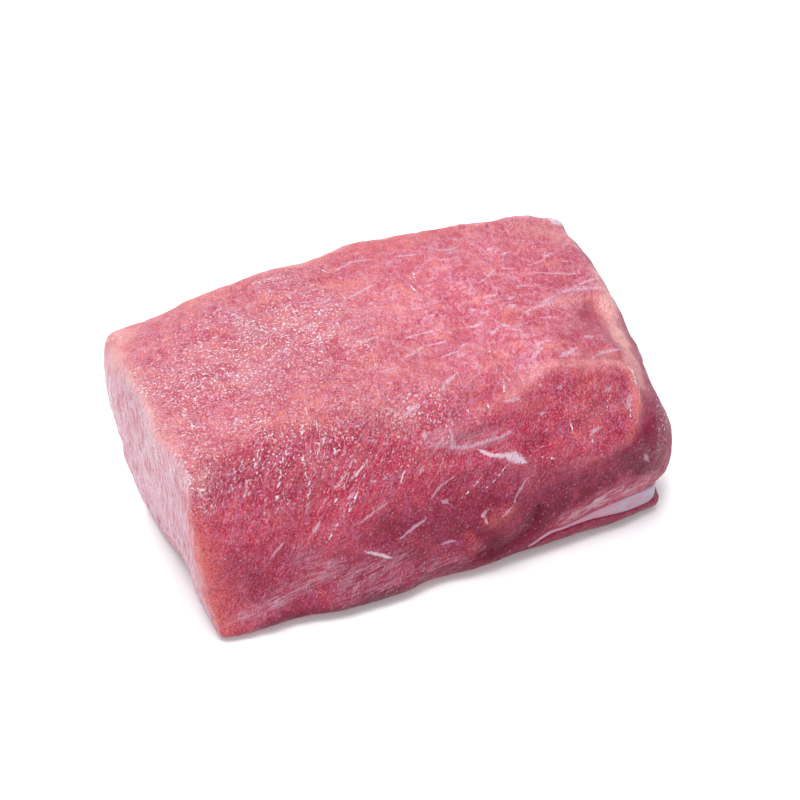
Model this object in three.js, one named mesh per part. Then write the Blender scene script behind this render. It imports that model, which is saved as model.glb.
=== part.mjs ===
// A block of raw lean pork, trimmed and cut off square at both ends: one long muscle with, under
// the right-hand third of it, a wedge of white fat and the thin edge of a second muscle.
// Millimetres, +Z up. X runs along the block, -Y is the front, and the origin is the middle of
// the footprint, on the surface that the block lies on.
//
// Each piece is the space inside a few gently bowed walls that meet in round edges. A "field"
// gives roughly how far a point lies outside those walls. wrapBlock() carries a box grid out from
// a core inside the piece until the field is zero, and wrapSlab() does so within each level of a
// thin piece.

import * as THREE from "three";

// ---- driving dimensions ----

// Triples are the size at the left end, half way along and at the right end of the block.
// Pairs are the size at the front and at the back.
const BLOCK = {
  halfLength: 70,
  height: 60, // the height at which the "High" sizes of the side walls apply
  frontY: -35, // the depths at which the front and the back size of a pair apply
  backY: 38,
  topFront: [60, 59.5, 43], // height of the top face along its front edge
  topBack: [56.5, 62.5, 53], // and along its back edge
  topCrown: 1, // how far the top swells between them
  frontLow: [36.5, 38, 31.5], // depth of the front face at the bottom
  frontHigh: [35, 33, 35.5], // and at the top
  frontBelly: [0, 2, 2.5],
  backLow: [25, 35, 38],
  backHigh: [31.5, 39, 42],
  backBelly: 2,
  leftLow: [63.5, 65.5], // reach of the left-hand cut at the bottom
  leftHigh: [68, 69], // and at the top: the cut leans
  leftBelly: 1,
  leftHollow: 3, // how far the left cut draws in along the bottom
  rightLow: [73, 69],
  rightHigh: [65.5, 72],
  rightBelly: 4,
  shoulderRadius: [4, 12, 20], // the front top edge, which opens into a wide shoulder
  backTopRadius: 4.5,
  leftEdgeRadius: 4,
  rightTopRadius: 5,
  rightFrontRadius: 12, // the upright edge at the front of the right-hand cut
  bottomRadius: [3.5, 7.5, 4.5],
  bowReach: 1.15, // how far past the ends the bows go on, in half lengths
  roundBelow: 1.3, // the share of the height at which the right front edge is square
};

const CENTRE = { x: 2, y: 1.5 }; // the middle of the footprint in the sizes above

// The seam between the two muscles rises from the bottom face near the middle of the block, and
// the fat in it thickens towards the right-hand cut.
const SEAM = {
  start: 16, // where it leaves the bottom face
  full: 34, // where it has risen to its height
  height: 8,
  droop: 2.2, // how far it comes down again towards the cut
  droopFrom: 42,
  droopTo: 62,
  fatThin: 1, // the fat is this thin from thinFull to fatFrom, and swells to fatThick at fatFull
  thinFull: 27,
  fatFrom: 36,
  fatFull: 60,
  fatThick: 5.8,
  gap: 0.5, // clear space between neighbouring pieces, more than a facet cuts off the curve
  gapEase: 2, // the gap opens over this far to both sides of the start
  mainEdgeRadius: 1.5, // the main muscle's lower edge along the seam
};

const FAT = { tip: 26, frontRadius: 4, endRecess: 5.2, lowRadius: 0.2, topRadius: 0.2 };
const SIDE_MUSCLE = { tip: 21, frontRadius: 3, endRecess: 4.4, lowRadius: 0, topRadius: 1.6 };

// Folds, hollows and crags: [from, to, half width, height], along a straight line and fading
// smoothly to both sides. A positive height stands out and a negative one is a hollow.
const FEATURES = {
  lipLeft: [[-2, -36, 48], [32, -29, 52], 3.2, 1.0],
  lipRight: [[34, -26, 53.8], [60, -25, 46], 2.4, 1.0],
  valleyLeft: [[8, -38, 43], [32, -35, 45.5], 3.4, -1.1],
  valleyRight: [[32, -34, 46], [56, -30, 44], 3.4, -1.5],
  shelfEdge: [[4, -39, 38], [53, -38, 31], 4.5, 0.9],
  frontHollow: [[36, -38, 20], [58, -37, 20], 6, -1.0],
  dent: [[56, -5, 51], [62, -1, 49], 3.4, -1.2],
  dentRim: [[47, -12, 54], [50, -16, 53], 3.5, 0.6],
  hollowBack: [[-58, 12, 60], [-50, 8, 61], 9, -0.8],
  hollowFront: [[-61, -20, 60], [-52, -17, 61], 6, -0.8],
  topRise: [[-40, 5, 62], [-25, 15, 62], 12, 0.6],
  backDipLeft: [[-52, 36, 55], [-52, 36, 60], 8, -1.6],
  backDipMiddle: [[-15, 40, 55], [-9, 40, 64], 9, -2.3],
  backHump: [[5, 38, 60], [8, 38, 63], 6, 1.2],
  backDipRight: [[22, 40, 55], [26, 40, 63], 11, -1.0],
  rimCut: [[67, -7, 49], [65, -24, 45], 7.5, -3.0],
  cornerCut: [[72, 34, 40], [72, 34, 53], 11, -1.6],
  endBulge: [[72, -28, 19], [72, -24, 22], 8, 1.5],
  leftBulge: [[-68, 24, 42], [-67, 25, 19], 10, 1.5],
  leftLowDip: [[-64, -30, 4], [-64, -14, 4], 9, -1.8],
  lowRoll: [[-45, -39, 4], [-10, -40, 3], 5, 0.9],
  lowDip: [[-30, -39, 14], [0, -40, 12], 6, -0.8],
};

// Slow unevenness all over: [height, waves per millimetre along x, y and z as radians, phase].
const WAVES = [
  [0.4, [0.16, 0.05, 0.03], 0.4],
  [0.35, [-0.05, 0.19, 0.1], 1.9],
  [0.3, [0.11, -0.13, 0.17], 4.1],
  [0.22, [0.29, 0.11, -0.07], 2.6],
  [0.18, [-0.21, 0.24, 0.19], 5.3],
];

// The main muscle's grid: cells along x, y and z, and the middle and half sizes of the core that
// it starts from and of the box that it is carried towards.
const MAIN_GRID = { cells: [42, 22, 18], middle: [0, 2, 30], core: [54, 19, 10], reach: [90, 50, 44] };
const MAIN_HALF_LENGTH = 72;
// The cells of a slab's grid, and how far beyond its middle its walls may lie.
const SLAB_GRID = { cells: [16, 14, 3], middleX: 47, middleY: 2, reach: 60 };
const GATHER = 0.45; // how strongly grid lines crowd towards the edges, 0 for even ones
const HALVINGS = 24;

// ---- walls ----

const clamp = THREE.MathUtils.clamp;
const smooth = (from, to, v) => THREE.MathUtils.smoothstep(v, from, to);

// A size that bows along the block: the parabola through its left, middle and right values.
function bow([left, middle, right], t) {
  return middle + ((right - left) / 2) * t + ((left + right) / 2 - middle) * t * t;
}

const between = ([front, back], w) => front * (1 - w) + back * w;

// Two walls that meet in an edge of radius r.
function roundMeet(p, q, r) {
  const corner = Math.hypot(Math.max(p + r, 0), Math.max(q + r, 0));
  return corner + Math.min(Math.max(p, q) + r, 0) - r;
}

// The height of one feature at a point: a bell over the distance to the feature's line.
function featureHeight(point, [from, to, halfWidth, height]) {
  const line = new THREE.Line3(new THREE.Vector3(...from), new THREE.Vector3(...to));
  const nearest = line.closestPointToPoint(point, true, new THREE.Vector3());
  return height * Math.exp(-nearest.distanceToSquared(point) / halfWidth ** 2);
}

function relief(point) {
  let sum = 0;
  for (const [height, k, phase] of WAVES) {
    sum += height * Math.sin(k[0] * point.x + k[1] * point.y + k[2] * point.z + phase);
  }
  for (const feature of Object.values(FEATURES)) sum += featureHeight(point, feature);
  return sum;
}

// The top and the four sides, which all pieces share. frontRadius rounds the upright edge at
// the front of the right-hand cut, and endRecess sets a piece back at that cut.
function outerField(point, frontRadius, endRecess) {
  const { x, y, z } = point;
  const t = clamp(x / BLOCK.halfLength, -BLOCK.bowReach, BLOCK.bowReach);
  const w = (y - BLOCK.frontY) / (BLOCK.backY - BLOCK.frontY);
  const s = z / BLOCK.height;
  const midDepth = 4 * w * (1 - w);
  const midHeight = 4 * s * (1 - s);
  const lowness = clamp(1 - s, 0, 1);

  const top = between([bow(BLOCK.topFront, t), bow(BLOCK.topBack, t)], w) + BLOCK.topCrown * midDepth;
  const front =
    between([bow(BLOCK.frontLow, t), bow(BLOCK.frontHigh, t)], s) + bow(BLOCK.frontBelly, t) * midHeight;
  const back =
    between([bow(BLOCK.backLow, t), bow(BLOCK.backHigh, t)], s) + BLOCK.backBelly * midHeight;
  const left =
    between([between(BLOCK.leftLow, w), between(BLOCK.leftHigh, w)], s) +
    midDepth * (BLOCK.leftBelly * s - BLOCK.leftHollow * lowness ** 2);
  const right =
    between([between(BLOCK.rightLow, w), between(BLOCK.rightHigh, w)], s) +
    midDepth * BLOCK.rightBelly * lowness -
    endRecess;

  let field = roundMeet(z - top, -y - front, bow(BLOCK.shoulderRadius, t));
  field = roundMeet(field, y - back, BLOCK.backTopRadius);
  field = roundMeet(field, -x - left, BLOCK.leftEdgeRadius);
  const nearFront = clamp(1 - w, 0, 1) ** 2 * clamp(BLOCK.roundBelow - s, 0, 1);
  const rightRadius = BLOCK.rightTopRadius + (frontRadius - BLOCK.rightTopRadius) * nearFront;
  field = roundMeet(field, x - right, rightRadius);
  return field - relief(point);
}

// ---- the seam ----

// The height of the second muscle's upper face, and of the top of the fat that lies on it.
function sideTop(x) {
  return SEAM.height * smooth(SEAM.start, SEAM.full, x) - SEAM.droop * smooth(SEAM.droopFrom, SEAM.droopTo, x);
}

function fatTop(x) {
  const thin = SEAM.fatThin * smooth(SEAM.start, SEAM.thinFull, x);
  return sideTop(x) + thin + (SEAM.fatThick - SEAM.fatThin) * smooth(SEAM.fatFrom, SEAM.fatFull, x);
}

// The main muscle: the outer walls, cut off by the floor and by the top of the fat.
function mainField(point) {
  const { x, z } = point;
  const lift = SEAM.gap * smooth(SEAM.start - SEAM.gapEase, SEAM.start + SEAM.gapEase, x);
  const onSeam = smooth(SEAM.start, SEAM.thinFull, x);
  const outer = outerField(point, BLOCK.rightFrontRadius, 0);
  const onFloor = roundMeet(outer, -z, bow(BLOCK.bottomRadius, x / BLOCK.halfLength));
  return roundMeet(onFloor, fatTop(x) + lift - z, SEAM.mainEdgeRadius * onSeam);
}

// How much a rim draws in at some depth below or above an edge rounded by a quarter circle.
function quarter(radius, depth) {
  const short = Math.max(radius - depth, 0);
  return radius - Math.sqrt(Math.max(radius ** 2 - short ** 2, 0));
}

// A slab: the outer walls drawn in at its lower and upper edge and along the floor.
function slabField(point, low, top, shape) {
  const { x, z } = point;
  const onFloor = quarter(bow(BLOCK.bottomRadius, x / BLOCK.halfLength), z);
  const inset = quarter(shape.lowRadius, z - low) + quarter(shape.topRadius, top - z) + onFloor;
  const outer = outerField(point, shape.frontRadius, shape.endRecess);
  return Math.max(outer + inset, shape.tip - x);
}

// ---- surfaces ----

// The six faces of a box of cells as one closed grid. Coordinates run from -1 to 1 and crowd
// towards the edges: t + g sin(pi t) / pi.
function boxGrid(cells) {
  const ids = new Map();
  const points = [];
  const index = [];
  const place = (i, n) => {
    const t = (2 * i) / n - 1;
    return t + (GATHER * Math.sin(Math.PI * t)) / Math.PI;
  };
  const vertex = (ijk) => {
    const key = ijk.join();
    if (!ids.has(key)) {
      ids.set(key, points.length);
      points.push(new THREE.Vector3(...ijk.map((i, axis) => place(i, cells[axis]))));
    }
    return ids.get(key);
  };
  for (let axis = 0; axis < 3; axis++) {
    const [u, v] = [(axis + 1) % 3, (axis + 2) % 3];
    for (const end of [0, cells[axis]]) {
      for (let i = 0; i < cells[u]; i++) {
        for (let j = 0; j < cells[v]; j++) {
          const corner = (di, dj) => {
            const ijk = [0, 0, 0];
            ijk[axis] = end;
            ijk[u] = i + di;
            ijk[v] = j + dj;
            return vertex(ijk);
          };
          const quad = [corner(0, 0), corner(1, 0), corner(1, 1), corner(0, 1)];
          if (end === 0) quad.reverse();
          index.push(quad[0], quad[1], quad[2], quad[0], quad[2], quad[3]);
        }
      }
    }
  }
  return { points, index };
}

// The point between start and end where the field turns from inside to outside, by halving.
function surfacePoint(start, end, field) {
  let [inside, outside] = [0, 1];
  for (let step = 0; step < HALVINGS; step++) {
    const half = (inside + outside) / 2;
    if (field(new THREE.Vector3().lerpVectors(start, end, half)) < 0) inside = half;
    else outside = half;
  }
  return new THREE.Vector3().lerpVectors(start, end, (inside + outside) / 2);
}

function closedGeometry(points, index) {
  const geometry = new THREE.BufferGeometry().setFromPoints(points);
  geometry.setIndex(index);
  geometry.translate(-CENTRE.x, -CENTRE.y, 0);
  geometry.computeVertexNormals();
  return geometry;
}

// A thick piece. The lower part of the grid is lifted with its underside, so that grid lines run
// along its lower edges.
function wrapBlock({ cells, middle, core, reach }, field, underside) {
  const { points, index } = boxGrid(cells);
  const surface = points.map((q) => {
    const centre = new THREE.Vector3(...middle);
    centre.z += (underside(q.x * MAIN_HALF_LENGTH) * (1 - q.z)) / 2;
    const start = q.clone().multiply(new THREE.Vector3(...core)).add(centre);
    const end = q.clone().multiply(new THREE.Vector3(...reach)).add(centre);
    return surfacePoint(start, end, field);
  });
  return closedGeometry(surface, index);
}

// A thin piece between two heights that vary along x. Each level's rim is found by going out
// from the middle, and the points within it are spread evenly from the middle to the rim.
function wrapSlab({ cells, middleX, middleY, reach }, low, top, shape) {
  const { points, index } = boxGrid(cells);
  const surface = points.map((q) => {
    const share = Math.max(Math.abs(q.x), Math.abs(q.y));
    const level = (q.z + 1) / 2;
    const heightAt = (x) => low(x) + (top(x) - low(x)) * level;
    const middle = new THREE.Vector3(middleX, middleY, 0);
    const end = middle.clone().add(new THREE.Vector3(q.x, q.y, 0).multiplyScalar(reach / (share || 1)));
    const rim = surfacePoint(middle, end, (point) => {
      point.z = heightAt(point.x);
      return slabField(point, low(point.x), top(point.x), shape);
    });
    const place = middle.lerp(rim, share);
    place.z = heightAt(place.x);
    return place;
  });
  return closedGeometry(surface, index);
}

// ---- materials and pieces ----

const leanMeat = new THREE.MeshStandardMaterial({ color: 0xc87482, roughness: 0.35, metalness: 0 });
const darkMeat = new THREE.MeshStandardMaterial({ color: 0x9c4a5c, roughness: 0.4, metalness: 0 });
const whiteFat = new THREE.MeshStandardMaterial({ color: 0xe6d6da, roughness: 0.45, metalness: 0 });

function piece(name, geometry, material) {
  const mesh = new THREE.Mesh(geometry, material);
  mesh.name = name;
  return mesh;
}

const group = new THREE.Group();
group.add(
  piece("main_muscle", wrapBlock(MAIN_GRID, mainField, fatTop), leanMeat),
  piece("fat_seam", wrapSlab(SLAB_GRID, (x) => sideTop(x) + SEAM.gap, fatTop, FAT), whiteFat),
  piece("side_muscle", wrapSlab(SLAB_GRID, () => 0, sideTop, SIDE_MUSCLE), darkMeat),
);

export default group;
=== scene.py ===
import bpy
import numpy as np
from math import cos, radians, sin
from mathutils import Matrix, Vector


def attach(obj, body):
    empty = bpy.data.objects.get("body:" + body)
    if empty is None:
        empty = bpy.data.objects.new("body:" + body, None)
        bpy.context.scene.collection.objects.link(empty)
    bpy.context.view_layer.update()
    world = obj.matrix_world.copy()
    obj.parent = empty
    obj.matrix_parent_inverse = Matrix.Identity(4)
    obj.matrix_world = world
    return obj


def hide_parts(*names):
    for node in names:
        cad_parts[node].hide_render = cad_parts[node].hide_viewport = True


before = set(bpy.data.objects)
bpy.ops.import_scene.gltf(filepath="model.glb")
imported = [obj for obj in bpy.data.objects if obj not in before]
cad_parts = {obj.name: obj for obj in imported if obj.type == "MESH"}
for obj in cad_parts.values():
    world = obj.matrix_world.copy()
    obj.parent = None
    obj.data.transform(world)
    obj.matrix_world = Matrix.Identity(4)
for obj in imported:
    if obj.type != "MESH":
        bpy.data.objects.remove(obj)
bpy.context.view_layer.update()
print("frame loaded")

# Sizes of the meat are in millimetres until a mesh is made. X runs along the block, -Y is the
# front, Z is up.
mm = 0.001

# Triples are the size at the left end, half way along and at the right end of the block.
# Pairs are the size at the front and at the back.
block = {
    "halfLength": 70, "height": 60, "frontY": -35, "backY": 38,
    "topFront": (60, 59.5, 43), "topBack": (56.5, 62.5, 53), "topCrown": 1,
    "frontLow": (36.5, 38, 31.5), "frontHigh": (35, 33, 35.5), "frontBelly": (0, 2, 2.5),
    "backLow": (25, 35, 38), "backHigh": (31.5, 39, 42), "backBelly": 2,
    "leftLow": (63.5, 65.5), "leftHigh": (68, 69), "leftBelly": 1, "leftHollow": 3,
    "rightLow": (73, 69), "rightHigh": (65.5, 72), "rightBelly": 4,
    "shoulderRadius": (4, 12, 20), "backTopRadius": 4.5, "leftEdgeRadius": 4,
    "rightTopRadius": 5, "rightFrontRadius": 12, "bottomRadius": (3.5, 7.5, 4.5),
    "bowReach": 1.15, "roundBelow": 1.3, "centre": (2, 1.5),
}

seam = {
    "start": 16, "full": 34, "height": 8, "droop": 2.2, "droopFrom": 42, "droopTo": 62,
    "thinFull": 27, "fatFrom": 36, "fatFull": 60, "fatThin": 1.0, "fatThick": 5.8, "mainEdgeRadius": 0.7,
}
fatShape = {"tip": 26, "frontRadius": 4, "endRecess": 5.2, "lowRadius": 0.2, "topRadius": 0.2}
sideShape = {"tip": 21, "frontRadius": 3, "endRecess": 4.4, "lowRadius": 0, "topRadius": 1.6}

# From, to, half width and height of each fold, hollow and crag. A positive height stands out.
features = {
    "lipLeft": ((-2, -36, 48), (32, -29, 52), 3.2, 1.0),
    "lipRight": ((34, -26, 53.8), (60, -25, 46), 2.4, 1.0),
    "valleyLeft": ((8, -38, 43), (32, -35, 45.5), 3.4, -1.1),
    "valleyRight": ((32, -34, 46), (56, -30, 44), 3.4, -1.5),
    "shelfEdge": ((4, -39, 38), (53, -38, 31), 4.5, 0.9),
    "frontHollow": ((36, -38, 20), (58, -37, 20), 6, -1.0),
    "dent": ((56, -5, 51), (62, -1, 49), 3.4, -1.2),
    "dentRim": ((47, -12, 54), (50, -16, 53), 3.5, 0.6),
    "hollowBack": ((-58, 12, 60), (-50, 8, 61), 9, -0.8),
    "hollowFront": ((-61, -20, 60), (-52, -17, 61), 6, -0.8),
    "topRise": ((-40, 5, 62), (-25, 15, 62), 12, 0.6),
    "backDipLeft": ((-52, 36, 55), (-52, 36, 60), 8, -1.6),
    "backDipMiddle": ((-15, 40, 55), (-9, 40, 64), 9, -2.3),
    "backHump": ((5, 38, 60), (8, 38, 63), 6, 1.2),
    "backDipRight": ((22, 40, 55), (26, 40, 63), 11, -1.0),
    "rimCut": ((67, -7, 49), (65, -24, 45), 7.5, -3.0),
    "cornerCut": ((72, 34, 40), (72, 34, 53), 11, -1.6),
    "endBulge": ((72, -28, 19), (72, -24, 22), 8, 1.5),
    "leftBulge": ((-68, 24, 42), (-67, 25, 19), 10, 1.5),
    "leftLowDip": ((-64, -30, 4), (-64, -14, 4), 9, -1.8),
    "lowRoll": ((-45, -39, 4), (-10, -40, 3), 5, 0.9),
    "lowDip": ((-30, -39, 14), (0, -40, 12), 6, -0.8),
}

# Small folds and crags: half width, height and the places that each runs through.
folds = (
    (1.8, 0.55, (24.5, -31.1, 52.1), (18.4, -32.1, 52.3), (12.3, -33.2, 51.8), (5.9, -35, 50.1),
     (2.2, -36, 48.7)),
    (1.5, -0.7, (19.7, -34.4, 48.4), (14.5, -34.8, 48), (8.6, -35.4, 47.5), (5.8, -35.5, 47.6)),
    (1.1, 0.5, (20.1, -35, 44.7), (14.2, -35.5, 44.6), (8.7, -35.4, 43.9), (3.3, -36, 45.9)),
    (1.5, -0.6, (27.2, -35.6, 39.7), (24.4, -35.2, 41.1)),
    (2.6, 0.6, (36.7, -25, 54.6), (32.4, -26.1, 54.7), (27.1, -28.4, 53.6), (23.2, -30.8, 52.6)),
    (1.5, -0.5, (44.7, -27.9, 49.7), (37, -30.3, 49.1)),
    (1.9, -0.7, (49.2, -31.3, 43.5), (43.6, -33.9, 42.8), (38.8, -35.2, 41.8), (33.1, -35.1, 41),
     (25.7, -35.8, 39.5)),
    (1.4, -0.5, (54, -30.8, 42.3), (53.2, -31, 42.8)),
    (1.2, 0.4, (45.7, -35.8, 40.2), (42.7, -37.5, 37.1)),
    (1.3, 0.9, (57.7, -23.7, 47.5), (60.2, -25, 46.1), (60.4, -27.9, 43.4), (58.6, -32.5, 40.5),
     (56, -36.1, 37.2),
     (53.4, -37.9, 34.2), (48.4, -38.2, 33.6)),
    (1.8, -0.8, (62.4, -30.7, 40), (60.5, -34.3, 37.2), (59.8, -37.3, 30), (61.4, -36, 23.5)),
    (1.8, -0.6, (55.3, -37.6, 27.3), (56.5, -36.3, 21.7)),
    (1.6, -0.6, (16.4, -37.4, 37), (12, -37.7, 35.9), (6.4, -37.6, 35.9), (-0.4, -37.1, 33.6)),
    (1, 0.4, (10.7, -37.7, 35.5), (7.3, -37.7, 30.9)),
    (1.2, -0.5, (12.7, -37.9, 29.8), (12.7, -37.9, 29)),
    (1.6, 0.9, (19.3, -39.3, 24), (14, -40.1, 21.1), (11.7, -39.2, 19.5)),
    (1.2, -1.6, (27.9, -36, 18.7), (27.5, -36.1, 15.4), (26.6, -36.1, 12.2), (24.9, -37.4, 10.1),
     (21.2, -37.9, 9.2),
     (16.6, -38.6, 8.5), (10.9, -38.4, 8.5)),
    (1.1, 0.6, (7.7, -39, 17), (8.9, -39.2, 13.2)),
    (1.4, 1, (17.3, -36.6, 39.5), (19.3, -37.1, 38.4), (21.4, -37.6, 37.6), (24.1, -38.1, 35.2)),
    (1, -0.5, (37.2, -23, 54.5), (44.7, -22.6, 52.3), (52.6, -21.8, 49.6), (59.2, -20.7, 47.3)),
    (1.6, 0.7, (36.7, -25, 54.6), (42.9, -25.3, 53), (51.2, -23.5, 50), (57.7, -23.7, 47.5)),
    (2.6, -0.5, (57.6, -2.9, 49.9), (59.9, -0.9, 49.3)),
    (1.8, -0.4, (45, -14.7, 54.6), (47.4, -15.9, 53.7)),
    (1.1, 0.6, (-21, -37.3, 20), (-14.8, -37.8, 16.2)),
    (1.8, 1.4, (65.5, 38, 53), (68, 37.4, 52)),
)

# Slow unevenness: height, radians per millimetre along x, y and z, phase.
waves = (
    (0.4, (0.16, 0.05, 0.03), 0.4),
    (0.35, (-0.05, 0.19, 0.1), 1.9),
    (0.3, (0.11, -0.13, 0.17), 4.1),
    (0.22, (0.29, 0.11, -0.07), 2.6),
    (0.18, (-0.21, 0.24, 0.19), 5.3),
)


# Eases from 0 at lo to 1 at hi: t * t * (3 - 2t).
def smooth(lo, hi, value):
    t = np.clip((value - lo) / (hi - lo), 0, 1)
    return t * t * (3 - 2 * t)


# The parabola through a size's left, middle and right values.
def bow(sizes, t):
    left, middle, right = sizes
    return middle + (right - left) / 2 * t + ((left + right) / 2 - middle) * t * t


# A straight blend from the first value of a pair to the second.
def between(pair, w):
    return pair[0] * (1 - w) + pair[1] * w


# Two walls that meet in an edge of radius r: the distance beyond both, measured round the corner.
def roundMeet(p, q, r):
    corner = np.hypot(np.maximum(p + r, 0), np.maximum(q + r, 0))
    return corner + np.minimum(np.maximum(p, q) + r, 0) - r


# Distance squared from points to the straight line between two ends.
def lineDistance2(x, y, z, start, end):
    sx, sy, sz = start
    dx, dy, dz = end[0] - sx, end[1] - sy, end[2] - sz
    u = ((x - sx) * dx + (y - sy) * dy + (z - sz) * dz) / (dx * dx + dy * dy + dz * dz)
    u = np.clip(u, 0, 1)
    return (x - sx - u * dx) ** 2 + (y - sy - u * dy) ** 2 + (z - sz - u * dz) ** 2


# A bell over the distance to a line: height * exp(-distance^2 / halfWidth^2).
def bell(x, y, z, start, end, halfWidth, height=1):
    return height * np.exp(-lineDistance2(x, y, z, start, end) / halfWidth ** 2)


# The small folds: each a bell over the distance to the nearest part of its path, added up.
def foldHeight(x, y, z):
    total = 0
    for halfWidth, height, *path in folds:
        away = np.min([lineDistance2(x, y, z, *ends) for ends in zip(path, path[1:])], axis=0)
        total = total + height * np.exp(-away / halfWidth ** 2)
    return total


# The folds, hollows and slow waves added together.
def relief(x, y, z):
    total = foldHeight(x, y, z)
    for height, k, phase in waves:
        total = total + height * np.sin(k[0] * x + k[1] * y + k[2] * z + phase)
    for feature in features.values():
        total = total + bell(x, y, z, *feature)
    return total


# How far points lie outside the top and the four sides. frontRadius rounds the upright edge at
# the front of the right-hand cut, and endRecess sets a piece back at that cut.
def outerField(x, y, z, frontRadius, endRecess):
    t = np.clip(x / block["halfLength"], -block["bowReach"], block["bowReach"])
    w = (y - block["frontY"]) / (block["backY"] - block["frontY"])
    s = z / block["height"]
    midDepth = 4 * w * (1 - w)
    midHeight = 4 * s * (1 - s)
    lowness = np.clip(1 - s, 0, 1)
    top = between((bow(block["topFront"], t), bow(block["topBack"], t)), w)
    top = top + block["topCrown"] * midDepth
    front = between((bow(block["frontLow"], t), bow(block["frontHigh"], t)), s)
    front = front + bow(block["frontBelly"], t) * midHeight
    back = between((bow(block["backLow"], t), bow(block["backHigh"], t)), s)
    back = back + block["backBelly"] * midHeight
    left = between((between(block["leftLow"], w), between(block["leftHigh"], w)), s)
    left = left + midDepth * (block["leftBelly"] * s - block["leftHollow"] * lowness ** 2)
    right = between((between(block["rightLow"], w), between(block["rightHigh"], w)), s)
    right = right + midDepth * block["rightBelly"] * lowness - endRecess
    field = roundMeet(z - top, -y - front, bow(block["shoulderRadius"], t))
    field = roundMeet(field, y - back, block["backTopRadius"])
    field = roundMeet(field, -x - left, block["leftEdgeRadius"])
    nearFront = np.clip(1 - w, 0, 1) ** 2 * np.clip(block["roundBelow"] - s, 0, 1)
    rightRadius = block["rightTopRadius"] + (frontRadius - block["rightTopRadius"]) * nearFront
    return roundMeet(field, x - right, rightRadius) - relief(x, y, z)


# Height of the second muscle's upper face: an eased rise from the bottom, then a slight fall.
def sideTop(x):
    rise = seam["height"] * smooth(seam["start"], seam["full"], x)
    return rise - seam["droop"] * smooth(seam["droopFrom"], seam["droopTo"], x)


# Height of the top of the fat: the second muscle's, plus a thickness that grows to the right.
def fatTop(x):
    thin = seam["fatThin"] * smooth(seam["start"], seam["thinFull"], x)
    growth = (seam["fatThick"] - seam["fatThin"]) * smooth(seam["fatFrom"], seam["fatFull"], x)
    return sideTop(x) + thin + growth


# The main muscle: the outer walls cut off by the fat's top or by the floor.
def mainField(x, y, z):
    onSeam = smooth(seam["start"], seam["thinFull"], x)
    outer = outerField(x, y, z, block["rightFrontRadius"], 0)
    outer = roundMeet(outer, -z, bow(block["bottomRadius"], x / block["halfLength"]))
    return roundMeet(outer, fatTop(x) - z, seam["mainEdgeRadius"] * onSeam)


# A slab: the outer walls, drawn in by a quarter round along the lower and the upper edge.
def slabField(x, y, z, low, top, shape):
    def quarter(radius, depth):
        short = np.maximum(radius - depth, 0)
        return radius - np.sqrt(np.maximum(radius ** 2 - short ** 2, 0))
    inset = quarter(shape["lowRadius"], z - low) + quarter(shape["topRadius"], top - z)
    inset = inset + quarter(bow(block["bottomRadius"], x / block["halfLength"]), z)
    outer = outerField(x, y, z, shape["frontRadius"], shape["endRecess"])
    return np.maximum(outer + inset, shape["tip"] - x)


# The six faces of a box of cells as one closed grid. Coordinates run from -1 to 1 and crowd
# towards the edges: t + gather * sin(pi t) / pi.
def boxGrid(cells, gather):
    lines = []
    for count in cells:
        t = np.linspace(-1, 1, count + 1)
        lines.append(t + gather * np.sin(np.pi * t) / np.pi)
    quads = []
    for axis in range(3):
        u, v = (axis + 1) % 3, (axis + 2) % 3
        for end in (0, 1):
            ijk = [None] * 3
            ijk[u], ijk[v] = np.meshgrid(np.arange(cells[u] + 1), np.arange(cells[v] + 1), indexing="ij")
            ijk[axis] = np.full_like(ijk[u], end * cells[axis])
            key = (ijk[0] * (cells[1] + 1) + ijk[1]) * (cells[2] + 1) + ijk[2]
            quad = np.stack([key[:-1, :-1], key[1:, :-1], key[1:, 1:], key[:-1, 1:]], -1).reshape(-1, 4)
            quads.append(quad if end else quad[:, ::-1])
    quads = np.concatenate(quads)
    used, index = np.unique(quads, return_inverse=True)
    k = used % (cells[2] + 1)
    j = used // (cells[2] + 1) % (cells[1] + 1)
    i = used // ((cells[2] + 1) * (cells[1] + 1))
    return np.stack([lines[0][i], lines[1][j], lines[2][k]], -1), index.reshape(quads.shape)


# Where the way from start to end leaves the piece, by halving.
def surfacePoints(start, end, field, halvings=18):
    inside = np.zeros((len(start), 1))
    outside = np.ones((len(start), 1))
    for step in range(halvings):
        half = (inside + outside) / 2
        within = (field(start + (end - start) * half) < 0)[:, None]
        inside = np.where(within, half, inside)
        outside = np.where(within, outside, half)
    return start + (end - start) * (inside + outside) / 2


# A thick piece: the grid goes out from a core until the field is zero. Its lower part is lifted
# with the underside, so that grid lines run along the lower edges.
def wrapBlock(grid, field, underside):
    q, quads = boxGrid(grid["cells"], grid["gather"])
    middle = np.tile(np.array(grid["middle"], float), (len(q), 1))
    middle[:, 2] += underside(q[:, 0] * grid["halfLength"]) * (1 - q[:, 2]) / 2
    start = middle + q * grid["core"]
    end = middle + q * grid["reach"]
    return surfacePoints(start, end, lambda p: field(p[:, 0], p[:, 1], p[:, 2])), quads


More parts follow.
